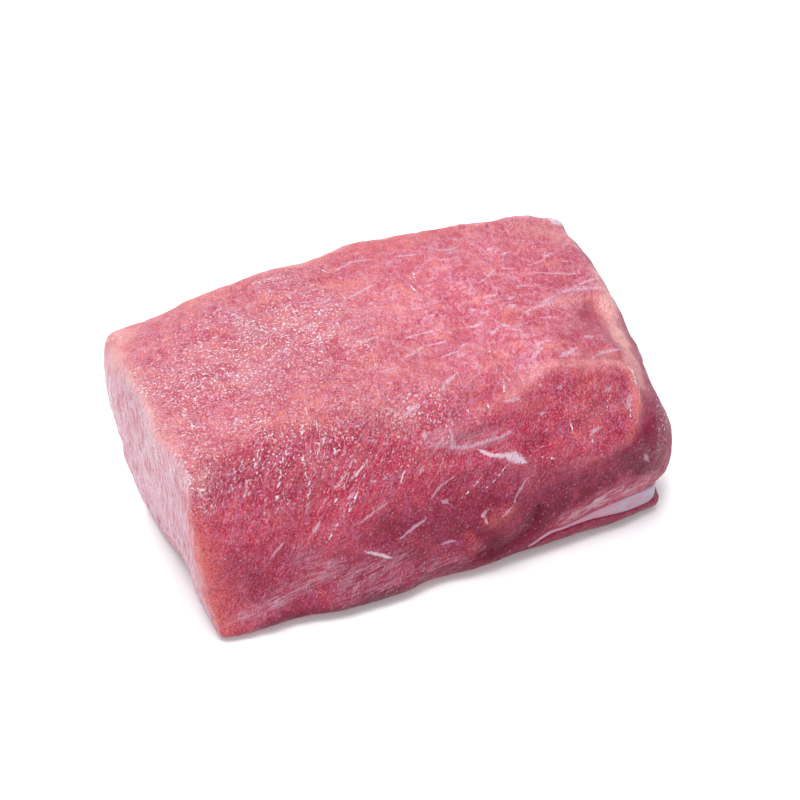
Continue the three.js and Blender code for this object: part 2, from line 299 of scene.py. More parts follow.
# A thin piece between two heights that vary along x. Each level's rim is found by going out
# from the middle, and the points within it are spread evenly from the middle to the rim.
def wrapSlab(grid, low, top, shape):
    q, quads = boxGrid(grid["cells"], grid["gather"])
    share = np.abs(q[:, :2]).max(1, keepdims=True)
    level = (q[:, 2] + 1) / 2
    middle = np.tile(np.array([grid["middleX"], grid["middleY"], 0.0]), (len(q), 1))
    way = np.zeros_like(q)
    way[:, :2] = q[:, :2] / np.maximum(share, 1e-9) * grid["reach"]

    def heightAt(x):
        return low(x) + (top(x) - low(x)) * level

    def field(p):
        return slabField(p[:, 0], p[:, 1], heightAt(p[:, 0]), low(p[:, 0]), top(p[:, 0]), shape)

    rim = surfacePoints(middle, middle + way, field)
    place = middle + (rim - middle) * share
    place[:, 2] = heightAt(place[:, 0])
    return place, quads


# Each vertex's outward direction: the sum of its faces' area vectors, made one long.
def vertexNormals(points, quads):
    corner = points[quads]
    area = np.cross(corner[:, 2] - corner[:, 0], corner[:, 3] - corner[:, 1])
    total = np.zeros_like(points)
    for side in range(quads.shape[1]):
        np.add.at(total, quads[:, side], area)
    return total / np.maximum(np.linalg.norm(total, axis=1, keepdims=True), 1e-12)


lattice = {"values": 4096, "stepX": 73856093, "stepY": 19349663, "stepZ": 83492791}


# Smooth random lattice: a random value at each whole step, blended by an eased weight per axis.
def softNoise(points, size, seed):
    table = np.random.default_rng(seed).uniform(-1, 1, lattice["values"])
    q = points / np.array(size, float)
    whole = np.floor(q).astype(np.int64)
    part = q - whole
    part = part * part * (3 - 2 * part)
    total = 0
    for corner in range(8):
        step = np.array([corner & 1, corner >> 1 & 1, corner >> 2 & 1])
        cell = whole + step
        x, y, z = cell.T
        key = (x * lattice["stepX"]) ^ (y * lattice["stepY"]) ^ (z * lattice["stepZ"])
        weight = np.where(step, part, 1 - part).prod(1)
        total = total + table[key % lattice["values"]] * weight
    return total


fibreLean = 22  # degrees from upright towards the right-hand end


# Coordinates turned so that z runs along the fibres: x' = cx - sz and z' = sx + cz.
def alongFibres(points):
    c, s = cos(radians(fibreLean)), sin(radians(fibreLean))
    x, y, z = points.T
    return np.stack([c * x - s * z, y, s * x + c * z], -1)


# A mesh object from points in millimetres and quads, with one float attribute per entry, in the
# place of a node. Its place in metres is (point - centre) / 1000.
def makePiece(name, points, quads, attributes, material, node):
    mesh = bpy.data.meshes.new(name)
    mesh.from_pydata(((points - (*block["centre"], 0)) * mm).tolist(), [], quads.tolist())
    mesh.shade_smooth()
    for key, values in attributes.items():
        layer = mesh.attributes.new(key, "FLOAT", "POINT")
        layer.data.foreach_set("value", values.astype(np.float32))
    mesh.materials.append(material)
    piece = bpy.data.objects.new(name, mesh)
    bpy.context.scene.collection.objects.link(piece)
    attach(piece, "root")
    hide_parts(node)


# Where the meat's tones lie. Each tone is a list of (from, to, half width, strength) in
# millimetres, added up and held to 1.
tones = {
    # Deep red: partly the meat's own crimson, partly painted shade along the lower edge near the floor and
    # in creases.
    "deep": (
        ((46, -14, 54), (60, -5, 48.5), 4.5, 0.35),
        ((45, -37, 22), (58, -37, 26), 8, 0.8),
        ((26, -38, 14), (40, -37, 16), 5, 0.6),
        ((28, -36, 18), (26, -36.5, 12), 2.4, 0.7),
        ((-10, -38, 20), (12, -38.5, 24), 8, 0.35),
        ((20, -38, 27), (34, -38, 24), 6, 0.4),
        ((-19, -37, 26), (-12.5, -36.7, 26.5), 3.6, 0.3),
        ((8, -38.5, 18), (14, -38.5, 14), 4, 0.35),
        ((-56, -37, 27), (-51, -37, 17), 5, 0.45),
        ((-50, -37.8, 3), (-20, -39.4, 3.6), 2.6, 0.8),
        ((-20, -39.4, 3.6), (26, -38, 5), 3.2, 0.85),
        ((56, -37, 31), (60, -37, 24), 5, 0.7),
        ((65.8, -28.4, 37.1), (62, -35.5, 31.5), 4, 1),
        ((62, -35, 28), (66, -31, 18), 5, 1),
        ((26.2, -36.7, 10.8), (18, -38, 8), 4, 0.9),
        ((10.9, -38.4, 8.5), (14, -38.5, 12), 3, 0.6),
        ((58, 0, 52), (64, 28, 53), 8, 0.3),
        ((-50, -34, 50), (-38, -36, 42), 7, 0.2),
    ),
    "rich": (
        ((-58, -36, 42), (-20, -36, 40), 12, 0.9),
        ((-20, -36, 44), (20, -37, 40), 11, 0.85),
        ((-56, -36, 24), (-48, -37, 18), 7, 0.8),
        ((20, -36, 46), (50, -36, 36), 7, 0.5),
        ((57.8, -2.7, 49.9), (59.5, -1.3, 49.4), 2.6, 1),
    ),
    "shade": (
        ((-10, -37, 27), (12, -38.5, 24), 7.5, 0.8),
        ((-3, -38, 21), (14, -38.7, 13), 8, 0.8),
        ((14, -38, 20), (30, -36, 18), 7, 0.6),
        ((30, -36, 20), (56, -36.5, 22), 6.5, 0.75),
        ((-42, -37.5, 10), (-20, -38.8, 8), 6, 0.9),
        ((-24, -38, 18), (-4, -38, 19), 6, 0.6),
        ((-20, -38.8, 7), (11, -38.4, 7), 6, 1),
        ((-46, -38, 3.5), (-15, -39.4, 4), 4, 0.9),
        ((-56, -36.5, 26), (-50, -37, 16), 6, 0.3),
        ((-44, -37, 24), (-30, -37.5, 20), 6, 0.6),
        ((4, -37, 34), (30, -37.5, 31), 5, 0.4),
    ),
    # Cream rims: partly the edges' own pale colour, partly a painted sheen, as at the left front corner.
    "creamSheen": (
        ((-65, 26.5, 58), (-68.5, 23, 56), 6, 0.7),
        ((-69, 20, 57), (-68.5, -25, 58.5), 3.6, 0.7),
        ((-67, -33, 55), (-63, -34.5, 56), 3.6, 0.45),
        ((69, 14, 49), (67, 3, 48.7), 3.5, 0.8),
        ((66, 3, 49.2), (63.5, -12, 47), 3.4, 0.9),
        ((63.5, -12, 46.5), (62.5, -25, 43.5), 3, 0.9),
        ((54, 35, 55.5), (66, 30, 54), 5, 0.4),
        ((50, 3, 54), (56, 2, 52), 4, 0.35),
        ((44, -22.5, 52), (60, -22.5, 46.5), 2.6, 0.45),
        ((-20, -30, 59.5), (-8, -32, 56), 4, 0.3),
        ((-42, 33, 58), (-12, 35, 61.5), 3, 0.4),
    ),
    # Peach rims: partly the cut edges' own colour, partly a painted translucent glow, and along the right
    # rim a painted highlight.
    "peachGlow": (
        ((-67, -33, 48), (-65, -34.5, 32), 3.6, 0.6),
        ((-65.5, -33.5, 32), (-61.5, -34.5, 5), 4.4, 0.9),
        ((-65, 30, 57), (-12, 34.5, 61.5), 3, 0.5),
        ((-12, 34.5, 61.5), (33, 36, 61), 3, 0.55),
        ((37, -25, 54), (60, -24.8, 46.5), 1.5, 0.5),
        ((60.2, -25, 46.1), (58.6, -32.5, 40.5), 1.5, 0.7),
        ((58.6, -32.5, 40.5), (53.4, -37.9, 34.2), 1.6, 0.6),
        ((48, -29, 48), (43, -31.5, 46), 5, 0.35),
        ((14, -39.2, 20.4), (19, -39.6, 22.3), 2.2, 0.6),
        ((7.3, -38.3, 16.6), (10, -38.6, 11), 1.6, 0.45),
    ),
    # Haze: partly a whitish membrane, partly a painted sheen, as in the spots on the top and the lower
    # left of the front.
    "hazeSheen": (
        ((-57.3, -36.3, 7.3), (-45.2, -37.1, 11.1), 2, 0.59),
        ((-45.2, -37.1, 11.1), (-31.4, -37.7, 17), 2.6, 0.52),
        ((-31, -37.5, 20), (-39, -37, 23), 3, 0.33),
        ((-26, -38, 13), (-12, -38, 14), 4, 0.39),
        ((-30, -38.5, 7), (5, -37.7, 8), 3.2, 0.33),
        ((-35.4, 16.9, 63), (-34.6, 9.1, 63.2), 3, 0.45),
        ((-24, 28.5, 63), (-20, 26, 63), 2.5, 0.39),
        ((-39.6, -4.2, 62.5), (-40.9, -15.4, 62.8), 3, 0.23),
        ((0, -36, 49), (16, -35.5, 43.5), 3.2, 0.6),
        ((4, -34, 53), (13, -26, 58), 1.8, 0.26),
        ((61, -29, 43), (58, -34, 38), 1.8, 0.26),
        ((50, 6, 54), (66, 8, 50), 1.3, 0.39),
        ((36, -36.7, 11.4), (48, -35.7, 14), 1.6, 0.8),
        ((48, -35.7, 14.2), (63, -34.5, 15.5), 2.2, 0.9),
        ((58, 12, 53), (64, 16, 52), 1.2, 0.33),
    ),
    "fleck": (
        ((12, 5, 62), (60, 15, 54), 22, 1),
        ((20, -22, 57), (60, -22, 49), 12, 0.7),
        ((-5, -30, 56), (10, -34, 52), 8, 0.4),
    ),
    "glare": (
        ((-38, 20, 63), (-33, 10, 63), 3.6, 0.7),
        ((-25, 29, 62.5), (-18, 26, 63), 3, 0.8),
        ((-42, -8, 62.5), (-38, -14, 62.8), 4, 0.7),
        ((-50, -22, 61), (-45, -26, 61), 4, 0.5),
        ((-67, -32, 56), (-67.2, -33, 49), 2.8, 0.5),
        ((61, -24, 46.5), (61, -30, 42), 2, 0.8),
        ((3, -33, 52), (12, -33, 50), 4, 0.5),
        ((66, -33, 30), (68, -26, 34), 6, 0.5),
    ),
    # Where long painted highlight streaks and more painted glints show; the fibre bundles also stand
    # deeper there.
    "streak": (
        ((-50, -35, 50), (-25, -36, 48), 13, 0.8),
        ((-25, -36, 48), (0, -37, 45), 9, 0.6),
        ((-45, -38, 12), (-10, -39, 10), 8, 0.35),
    ),
    # Where the grain is coarser and painted glints and short painted highlight marks are denser.
    "grain": (
        ((-60, -5, 61), (-20, 5, 63), 22, 1),
        ((-60, -30, 56), (0, -30, 56), 8, 0.6),
        ((-64, -34, 55), (-62, -35, 47), 3.5, 0.9),
        ((-50, -34, 52), (-15, -35, 50), 7, 0.25),
        ((20, -26, 55), (50, -33, 44), 9, 0.22),
    ),
}


# The noise that roughens the tones: amount, width in millimetres and seed.
toneNoise = ((0.45, 5, 11), (0.3, 1.8, 12))


# The strength of every tone at points: the bells of its list added up, times 1 plus the noise. A
# painted highlight on the crests and a painted shade in the hollows of the small folds are two tones
# more.
def toneValues(points):
    x, y, z = points.T
    wobble = 1 + sum(amount * softNoise(points, [width] * 3, seed) for amount, width, seed in toneNoise)
    values = {}
    for tone, spots in tones.items():
        total = sum(bell(x, y, z, *spot) for spot in spots)
        values[tone] = np.clip(total * wobble, 0, 1)
    # A painted highlight on the crests and a painted shade in the hollows of the small folds.
    values["litCrest"] = np.clip(foldHeight(x, y, z) * wobble, 0, 1)
    values["hollow"] = np.clip(-foldHeight(x, y, z) * wobble, 0, 1)
    return values


# The outward slant along x at which each cut end starts and is full.
cutSlant = {"left": (0.60, 0.82), "right": (0.46, 0.72), "raggedness": 0.10}


# How strongly points lie on each cut end: the outward slant along x, roughened by noise and eased.
def cutValues(points, normals):
    slant = normals[:, 0] + cutSlant["raggedness"] * softNoise(points, (4, 4, 4), 21)
    return smooth(*cutSlant["left"], -slant), smooth(*cutSlant["right"], slant)


# Lines in the surface. Each is its half width and the places that it runs through, in millimetres.
marbling = (
    (0.48, (32.4, 32.5, 59.3), (34.2, 31.6, 59.1)),
    (0.28, (21.9, 29.4, 61.4), (27.1, 27.7, 60.2), (30.7, 27.6, 59.5), (33.9, 29.6, 59.1)),
    (0.36, (24.1, 22.8, 60.8), (28, 23, 60.2)),
    (0.62, (40.1, 25.3, 58.3), (42.1, 26.4, 58)),
    (0.36, (42.8, 22.6, 57.6), (47, 24.4, 56.6)),
    (0.45, (54.9, 20.7, 54.9), (59, 22.6, 54.3)),
    (0.36, (59.2, 18.3, 54), (61.5, 18.1, 53.4)),
    (0.26, (49.6, 17.4, 55.8), (55.3, 20, 54.8)),
    (0.28, (40.1, 16.6, 57.5), (44.7, 16.6, 56.6)),
    (0.26, (48.3, 14.1, 55.9), (53.6, 13.4, 54.6), (63.1, 13.2, 52.3)),
    (0.5, (34.7, 13.1, 58.7), (38.1, 16.3, 57.9)),
    (0.28, (30.8, 10.3, 59.4), (34.1, 12.5, 58.8)),
    (0.43, (16.3, 12.7, 60.7), (18.6, 13.2, 60.6)),
    (0.28, (41.8, 8.8, 56.6), (44.9, 8.9, 55.9)),
    (0.48, (52.8, 5.6, 53.3), (57.7, 7.5, 52.3), (63, 7.1, 51.2), (68, 7.2, 49.1)),
    (0.28, (59.2, 8.7, 52.1), (64.4, 10.1, 51.5), (69.3, 12.3, 48.8)),
    (0.6, (30.5, 4.5, 58.8), (33.8, 5.1, 58.5)),
    (0.48, (25.6, 6.5, 59.8), (28.1, 6.9, 59.6)),
    (0.43, (35.9, 2.6, 57.6), (38.8, 4.3, 57)),
    (0.48, (34.5, -0.4, 57.7), (37.5, 0.5, 57.2)),
    (0.38, (44.7, 1.7, 55.2), (48.1, 2.7, 54.3), (51.6, 4.7, 53.6)),
    (0.36, (37.9, -3.3, 56.6), (42.9, -0.3, 55.4), (49.6, 1.8, 53.7)),
    (0.36, (42.2, -5, 55), (46.9, -4.6, 53.8)),
    (0.43, (20.9, -4.9, 58), (23.3, -5.1, 57.7), (26.5, -4, 57.7)),
    (0.38, (24.7, -8.7, 57.5), (27, -8.6, 57.4), (29.3, -7.5, 57.4)),
    (0.43, (29.4, -5.9, 57.6), (31.7, -7.9, 57.2)),
    (0.28, (31.9, -9.4, 57.2), (33.9, -10.1, 56.8)),
    (0.28, (33.3, -12, 56.7), (35.7, -12.2, 56.5)),
    (0.57, (12.4, 9, 61), (12.8, 6.6, 61.1)),
    (0.38, (8.6, 3.2, 61.8), (11, 3.7, 61.5)),
    (0.43, (11.2, -0.6, 61.4), (13.5, -0.1, 61)),
    (0.43, (23.7, 1, 58.8), (26.6, 0.7, 58.5)),
    (0.71, (26.5, -1.2, 58.1), (29, -0.3, 58.1)),
    (0.31, (6.7, -6.6, 61), (13.1, -5.4, 59.8)),
    (0.31, (2, -7.6, 61.7), (6.1, -6.6, 61.1)),
    (0.45, (15.1, -13, 58.9), (17.9, -11.6, 58.3)),
    (0.5, (12.8, -17.4, 59.1), (15.9, -16.3, 58.7)),
    (0.31, (34.3, -16.9, 56.3), (40.8, -15.4, 55.6)),
    (0.57, (31.9, -21.5, 55.6), (36.9, -18, 55.9)),
    (0.67, (40.1, -21.9, 54.6), (46.1, -19.2, 53.8)),
    (0.36, (49.7, -21.9, 51.3), (52.8, -20.1, 50.8), (61.9, -16.1, 46.4)),
    (0.45, (50.3, -15.4, 53.6), (53.6, -14.1, 51.8)),
    (0.4, (-1.4, -15.3, 61.4), (6.3, -10.9, 60.1)),
    (0.28, (6.3, -10.9, 60.1), (12.7, -10.1, 59.2)),
    (0.28, (7.3, -16.5, 59.2), (14.7, -14.5, 58.8)),
    (0.55, (3, -28, 58.5), (6.1, -25.8, 58.9), (9.7, -23.4, 59)),
    (0.67, (-7.9, -31, 56.1), (-3.5, -29.7, 57.4)),
    (0.52, (-4, -35.3, 50), (-3.7, -34.1, 52.2)),
    (0.45, (-11.7, -29.2, 58), (-10, -29.8, 57.2)),
    (0.36, (19.7, -31.7, 52.7), (23.9, -31.3, 52)),
    (0.48, (36, -30.2, 51.2), (37.7, -29.7, 51.4)),
    (0.6, (50.2, -29.8, 45.7), (52.6, -29, 45.9)),
    (0.48, (29.7, -32.5, 46.2), (31.6, -32.3, 45.9)),
    (0.4, (42.4, -37, 38.4), (43.1, -36.5, 39.4), (45.9, -36, 39.6)),
    (0.57, (57.6, -29.4, 42.3), (55.3, -32.5, 40.2)),
    (0.53, (20.1, -35, 44.7), (14.2, -35.5, 44.6), (8.7, -35.4, 43.9), (3.3, -36, 45.9), (3, -34.7, 51.3)),
    (0.38, (20, -34.8, 45.3), (16.9, -35.1, 44)),
    (0.31, (24.7, -37.2, 30), (22.2, -37.8, 27), (19.4, -39.7, 24.1)),
    (0.43, (12.9, -38.6, 24.3), (11.1, -38.7, 22.6), (12.4, -39, 20.1)),
    (0.43, (18.9, -39.8, 23.3), (16.2, -39.4, 21.4)),
    (0.43, (0, -37.3, 15.2), (4.2, -37.6, 15.1)),
    (0.57, (0, -37.5, 30.5), (1.9, -37.7, 28.7)),
    (0.31, (3.6, -37.4, 37.2), (-0.3, -36.9, 34.5), (-3.7, -37.2, 31)),
    (0.45, (-35.9, -35.9, 40.3), (-36.6, -35.6, 37)),
    (0.43, (-33.2, -36.4, 33.6), (-35.5, -36.4, 29.3)),
    (0.38, (-11.7, -37.3, 21), (-8.4, -37.4, 23.3), (-4.4, -37.7, 25.8)),
    (0.4, (-14.7, -36.6, 33.8), (-19.2, -37, 31.9), (-23.1, -37.3, 29.8)),
    (0.38, (-43.4, -36.3, 29.6), (-46.8, -36.9, 26.4)),
    (0.36, (-51.6, -33.9, 50), (-52.9, -34.5, 45.6)),
    (0.57, (-4.5, -36.1, 42.1), (-5.7, -36.3, 40.3)),
    (0.33, (-4.6, 26, 62.4), (1.3, 29.2, 62), (7.6, 28.9, 61.8)),
    (0.43, (-14.1, 13, 62.8), (-10, 15.3, 62.8)),
    (0.31, (-6.7, 12.7, 62.6), (-0.6, 15.9, 62.1), (4.5, 17, 62.2)),
    (0.4, (-22.2, 5.6, 62), (-17.3, 6.5, 62.6)),
    (0.33, (-10.3, -7.2, 62.7), (-4.5, -5.3, 62.6)),
    (0.33, (-9.4, -18.5, 61.5), (-4.2, -18, 61.6)),
    (0.28, (13.9, 27.9, 61.3), (19.3, 26.7, 61.5)),
    (0.48, (59.1, -37.3, 26.9), (61.6, -35.8, 22.5)),
    (0.52, (52.5, -22.7, 49.7), (53.3, -23.7, 49.2)),
)
# Lines of painted highlight on the wet surface.
wetHighlightLines = (
    (0.27, (-47.4, -32.3, 58.8), (-48.4, -33.2, 57.3), (-49.2, -33.8, 54.8), (-50.2, -33.9, 52.3)),
    (0.39, (-41, -34, 57.5), (-42, -34.9, 55.7), (-43.1, -35.1, 53.5), (-43.3, -35.4, 50.3),
     (-44.1, -35.6, 47), (-44.4, -35.7, 44.1), (-44.5, -35.8, 38.3)),
    (0.42, (-50.9, -35, 42.3), (-49.5, -34.9, 43.5)),
    (0.35, (-35.4, -30.6, 60.4), (-36.1, -32.4, 58.7)),
    (0.43, (-37.1, -34.7, 55.9), (-37.1, -35.5, 53.2), (-36.5, -35.8, 48.7)),
    (0.42, (-30.5, -33.1, 57.8), (-31.2, -34.2, 56.4)),
    (0.35, (-33, -34.8, 55.3), (-33.7, -35.4, 53.5)),
    (0.46, (-35.8, -36, 47.2), (-36.3, -36, 41.9)),
    (0.35, (-28.1, -33.7, 56.6), (-28.6, -34.9, 54.3), (-28.3, -35.6, 51.9)),
    (0.26, (-25.9, -31.8, 58.3), (-26.5, -33.3, 56.8)),
    (0.37, (-18.6, -35, 49.6), (-22.1, -36.3, 46.7), (-25.1, -36.6, 44.2), (-27.6, -36.6, 42.7)),
    (0.43, (-23.1, -37.1, 40.6), (-25.2, -37.4, 35.8), (-28.3, -37.3, 32.5)),
    (0.26, (-28.3, -37.3, 32.5), (-32.1, -37.2, 26.3)),
    (0.39, (-9.8, -35.9, 42.5), (-11.5, -36.3, 37.7)),
    (0.37, (-28.6, -36.7, 39.7), (-29.5, -36.8, 38.7)),
    (0.27, (-53.8, -33.3, 55.9), (-54.9, -33.5, 53.7)),
    (0.27, (-41.4, -36, 44), (-41.8, -35.8, 41.3)),
    (0.27, (-31.2, -29.4, 60.5), (-31.8, -31.7, 59)),
    (0.2, (21.7, -26.4, 55.8), (20.6, -29.6, 54), (20.4, -31.2, 53.1)),
    (0.2, (15.1, -31.2, 53.6), (14.8, -33.2, 51.5)),
    (0.2, (22.5, -14.8, 57.6), (22.2, -18.3, 57.7)),
    (0.24, (38.4, -33.1, 44), (37.7, -34.1, 42.5), (38.2, -36.2, 40.3)),
    (0.26, (51.7, -29.7, 45), (50.5, -31.1, 43.3), (49.3, -32.4, 41.9)),
    (0.26, (43, -37, 38.2), (42.3, -38, 35.5)),
    (0.36, (58.6, -23.9, 47), (60.2, -25, 46.1), (60.6, -27.9, 43.4)),
    (0.24, (56.1, -32.1, 40), (55.3, -34.4, 38.5)),
    (0.29, (10.9, -37.8, 34.8), (7.7, -37.7, 31.6), (5.6, -37.8, 30)),
    (0.27, (18.5, -37.8, 36.9), (14.9, -37.8, 32.7), (12, -37.9, 29.7)),
    (0.27, (3, -34.7, 51.3), (1.9, -36.5, 49)),
    (0.37, (1, -31.2, 56.5), (-0.7, -32, 55.7)),
    (0.37, (9.7, -31.9, 53.5), (8.7, -32.9, 52.5)),
    (0.3, (28.5, -36.8, 35.6), (33.1, -37.4, 33.8)),
    (0.3, (16.1, 20.6, 60.7), (15, 16.6, 60.6)),
    (0.32, (12.9, 15.1, 60.9), (13.2, 10.5, 60.9)),
    (0.26, (37, 20.4, 58.5), (36.3, 17.4, 58.3)),
    (0.32, (-7.5, 28.2, 62.8), (-6.7, 26.4, 62.8)),
    (0.27, (-47.6, 14.1, 61.4), (-48.2, 10.8, 61.2)),
)
cutLines = (
    (0.6, (-51.7, -3.3, 61.9), (-50.3, -3.5, 62.1)),
    (0.35, (7.3, -11.3, 59.8), (8.1, -11.1, 59.7)),
    (0.41, (-13.1, -37.2, 21), (-20, -37.2, 20.9)),
)

flaps = (
    (1.15, (17.4, -36.6, 39.6), (20.4, -37.3, 38.5), (23.4, -38.1, 36.3)),
    (0.5, (10.9, -35.5, 42.5), (14.1, -36.3, 40.2), (18.5, -36.8, 39.2)),
    (0.45, (-21.2, -37.3, 20), (-17.7, -37.3, 17.9), (-14.4, -37.8, 15.8)),
    (1.3, (64.4, 38, 53.3), (66.9, 37.6, 52.3), (69, 37.2, 51)),
)


# In millimetres, how far a line reaches, where it fades to the side and how far past its ends. Far
# is the most half widths that are kept, and thinnest is a line's width at its ends, squared.
lineReach = {"reach": 3, "aside": (2.6, 1.4), "pastEnd": 0.7, "far": 9, "thinnest": 0.04}


# For points near a set of lines: the distance to the side of the nearest line, in its own half
# widths, and a nearness that fades from 1 to 0 around the line and past its ends.
def lineValues(points, normals, lines):
    far = lineReach["far"]
    across = np.full(len(points), float(far))
    nearness = np.zeros(len(points))
    reach = np.full(len(points), float(lineReach["reach"]))
    for halfWidth, *path in lines:
        path = np.array(path, float)
        lengths = np.linalg.norm(np.diff(path, axis=0), axis=1)
        gone = 0
        for start, end, length in zip(path, path[1:], lengths):
            away = np.abs(points - (start + end) / 2).max(1)
            near = np.nonzero(away < length / 2 + lineReach["reach"])[0]
            way = (end - start) / length
            offset = points[near] - start
            along = offset @ way
            held = np.clip(along, 0, length)
            rest = offset - held[:, None] * way
            distance = np.linalg.norm(rest, axis=1)
            side = (rest * np.cross(way, normals[near])).sum(1)
            share = 2 * (gone + held) / lengths.sum() - 1
            taper = np.sqrt(np.maximum(1 - share ** 2, lineReach["thinnest"]))
            past = np.abs(along - held) * share ** 8
            fade = smooth(*lineReach["aside"], distance) * smooth(lineReach["pastEnd"], 0, past)
            closer = distance < reach[near]
            chosen = near[closer]
            reach[chosen] = distance[closer]
            across[chosen] = (side / (halfWidth * taper))[closer]
            nearness[chosen] = fade[closer]
            gone += length
    return np.clip(across, -far, far), nearness


# Fine relief in millimetres: height and width of the lumps and crumples, and sizes of the bundles.
# It starts underClear above the floor and ends between two slants of the underside.
fine = {
    "lump": (0.2, 7.0), "crumple": (0.2, 2.4), "bundleWidth": 1.7, "bundleLength": 15,
    "bundleDepth": 0.13, "streakDepth": 0.22, "underClear": 1.2, "underSlant": (0.5, 0.9),
}


# Height of the surface over the plain walls: the sum of lumps, crumples and fibre bundles, each a
# random lattice of its own size, faded out on the flat underside.
def fineRelief(points, normals, streak):
    height = fine["lump"][0] * softNoise(points, [fine["lump"][1]] * 3, 31)
    height = height + fine["crumple"][0] * softNoise(points, [fine["crumple"][1]] * 3, 32)
    fibres = alongFibres(points)
    bundle = softNoise(fibres, (fine["bundleWidth"], fine["bundleWidth"], fine["bundleLength"]), 33)
    height = height + (fine["bundleDepth"] + fine["streakDepth"] * streak) * bundle
    under = smooth(*fine["underSlant"], -normals[:, 2])
    return height * smooth(0, fine["underClear"], points[:, 2]) * (1 - under)


# A shader node with its inputs, each a plain value or another node's output, and its settings.
def addNode(tree, kind, inputs=None, **settings):
    made = tree.nodes.new(kind)
    for key, value in settings.items():
        setattr(made, key, value)
    for key, value in (inputs or {}).items():
        if isinstance(value, bpy.types.NodeSocket):
            tree.links.new(value, made.inputs[key])
        else:
            made.inputs[key].default_value = value
    return made


# Random pattern from 0 to 1 on object coordinates: size is its width in millimetres per axis,
# lean turns it so that z runs along the fibres, and offset moves it away from the others.
def pattern(tree, size, lean, detail, roughness, offset):
    place = addNode(tree, "ShaderNodeTexCoord").outputs["Object"]
    turned = addNode(tree, "ShaderNodeMapping", {"Vector": place, "Rotation": (0, radians(-lean), 0)})
    scaled = addNode(tree, "ShaderNodeMapping", {
        "Vector": turned.outputs[0], "Location": (offset, offset * 1.7, offset * 2.3),
        "Scale": [1 / (side * mm) for side in size]})
    noise = addNode(tree, "ShaderNodeTexNoise", {
        "Vector": scaled.outputs[0], "Scale": 1.0, "Detail": detail, "Roughness": roughness})
    return noise.outputs["Fac"]


# A value that the mesh keeps at each point, blended in between.
def attribute(tree, name):
    return addNode(tree, "ShaderNodeAttribute", attribute_name=name).outputs["Fac"]


# Eases a value from 0 at low to top at high.
def rise(tree, value, low, high, top=1.0):
    made = addNode(tree, "ShaderNodeMapRange", {
        "Value": value, "From Min": low, "From Max": high, "To Min": 0.0, "To Max": top},
        interpolation_type="SMOOTHSTEP")
    return made.outputs[0]


# A straight blend from the first of a pair, where the pattern is 0.3, to the second, at 0.7.
def spread(tree, value, pair):
    made = addNode(tree, "ShaderNodeMapRange", {
        "Value": value, "From Min": 0.3, "From Max": 0.7, "To Min": pair[0], "To Max": pair[1]})
    return made.outputs[0]


# One math node over a chain of values: a + b + c, a * b * c, or the largest of them.
def combine(tree, operation, *values):
    result = values[0]
    for value in values[1:]:
        made = addNode(tree, "ShaderNodeMath", {0: result, 1: value}, operation=operation)
        result = made.outputs[0]
    return result


# The product of several values.
def times(tree, *values):
    return combine(tree, "MULTIPLY", *values)


# The distance of a value from zero.
def magnitude(tree, value):
    return addNode(tree, "ShaderNodeMath", {0: value}, operation="ABSOLUTE").outputs[0]


# Thin winding lines where a pattern crosses its middle: top on the line, 0 beyond the width.
def threads(tree, value, width, top=1.0):
    return rise(tree, magnitude(tree, combine(tree, "SUBTRACT", value, 0.5)), width, 0.0, top)


# The edges of each set of lines: how soft they are, and how far which patterns fray them, in half
# widths of a line.
lineEdges = {
    "wetHighlight": (0.4, ("grains", 3.0), ("breaks", 2.0)),
    "marbling": (0.9, ("breaks", 2.5), ("fibres", 2.5), ("grains", 2.0)),
    "flap": (0.6, ("fibres", 2.0), ("grains", 1.5)),
    "dark": (0.5, ("fibres", 1.5)),
}


# A set of lines as an amount: 1 along each line's middle, 0 beyond its frayed half width.
def drawn(tree, noise, key):
    soft, *frays = lineEdges[key]
    away = magnitude(tree, attribute(tree, key + "Across"))
    for fray, amount in frays:
        fromMiddle = combine(tree, "SUBTRACT", noise[fray], 0.5)
        away = combine(tree, "ADD", away, times(tree, fromMiddle, amount))
    return times(tree, rise(tree, away, 1 + soft, 1 - soft), attribute(tree, key + "Near"))


# Lays one colour over another by an amount from 0 to 1, or multiplies it in.
def lay(tree, amount, under, over, blend="MIX"):
    made = addNode(tree, "ShaderNodeMix", data_type="RGBA", blend_type=blend)
    for index, value in ((0, amount), (6, under), (7, over)):
        if isinstance(value, bpy.types.NodeSocket):
            tree.links.new(value, made.inputs[index])
        else:
            made.inputs[index].default_value = (*value, 1) if index else value
    return made.outputs[2]


# Lays coats over a colour from the first to the last, each an amount and its colour.
def layAll(tree, colour, coats):
    for amount, over in coats:
        colour = lay(tree, amount, colour, over)
    return colour


# The lean's random patterns: width in millimetres per axis, lean in degrees, detail, roughness and
# offset.
leanPatterns = {
    "broad": ((15, 15, 15), 0, 3, 0.55, 0),
    "patches": ((9, 6, 5), 0, 4, 0.6, 4.4),
    "mottle": ((2.8, 2.8, 3.92), fibreLean, 3, 0.55, 6.3),
    "bands": ((9, 2.6, 3), -8, 3, 0.6, 5.1),
    "veins": ((5, 5, 8), fibreLean, 3, 0.6, 3.7),
    "bundles": ((1.5, 1.5, 9), fibreLean, 2, 0.6, 0),
    "fibres": ((0.5, 0.5, 3), fibreLean, 2, 0.65, 3.1),
    "grains": ((0.42, 0.42, 0.63), fibreLean, 1, 0.6, 7.7),
    "worms": ((1.3, 1.3, 2.08), fibreLean, 1, 0.5, 1.9),
    "breaks": ((1.1, 1.1, 1.6), fibreLean, 1, 0.5, 5.9),
    "lines": ((4.2, 4.2, 42), fibreLean + 8, 1, 0.5, 8.3),
    "sparks": ((0.62, 0.62, 0.85), fibreLean, 0, 0.5, 6.9),
    "flecks": ((7, 1.7, 2.8), -8, 2, 0.6, 1.3),
    "hazeSheenStreaks": ((0.6, 0.6, 6), 77, 2, 0.6, 9.1),
    "endStreaks": ((1, 1, 7), 4, 3, 0.65, 2.7),
}

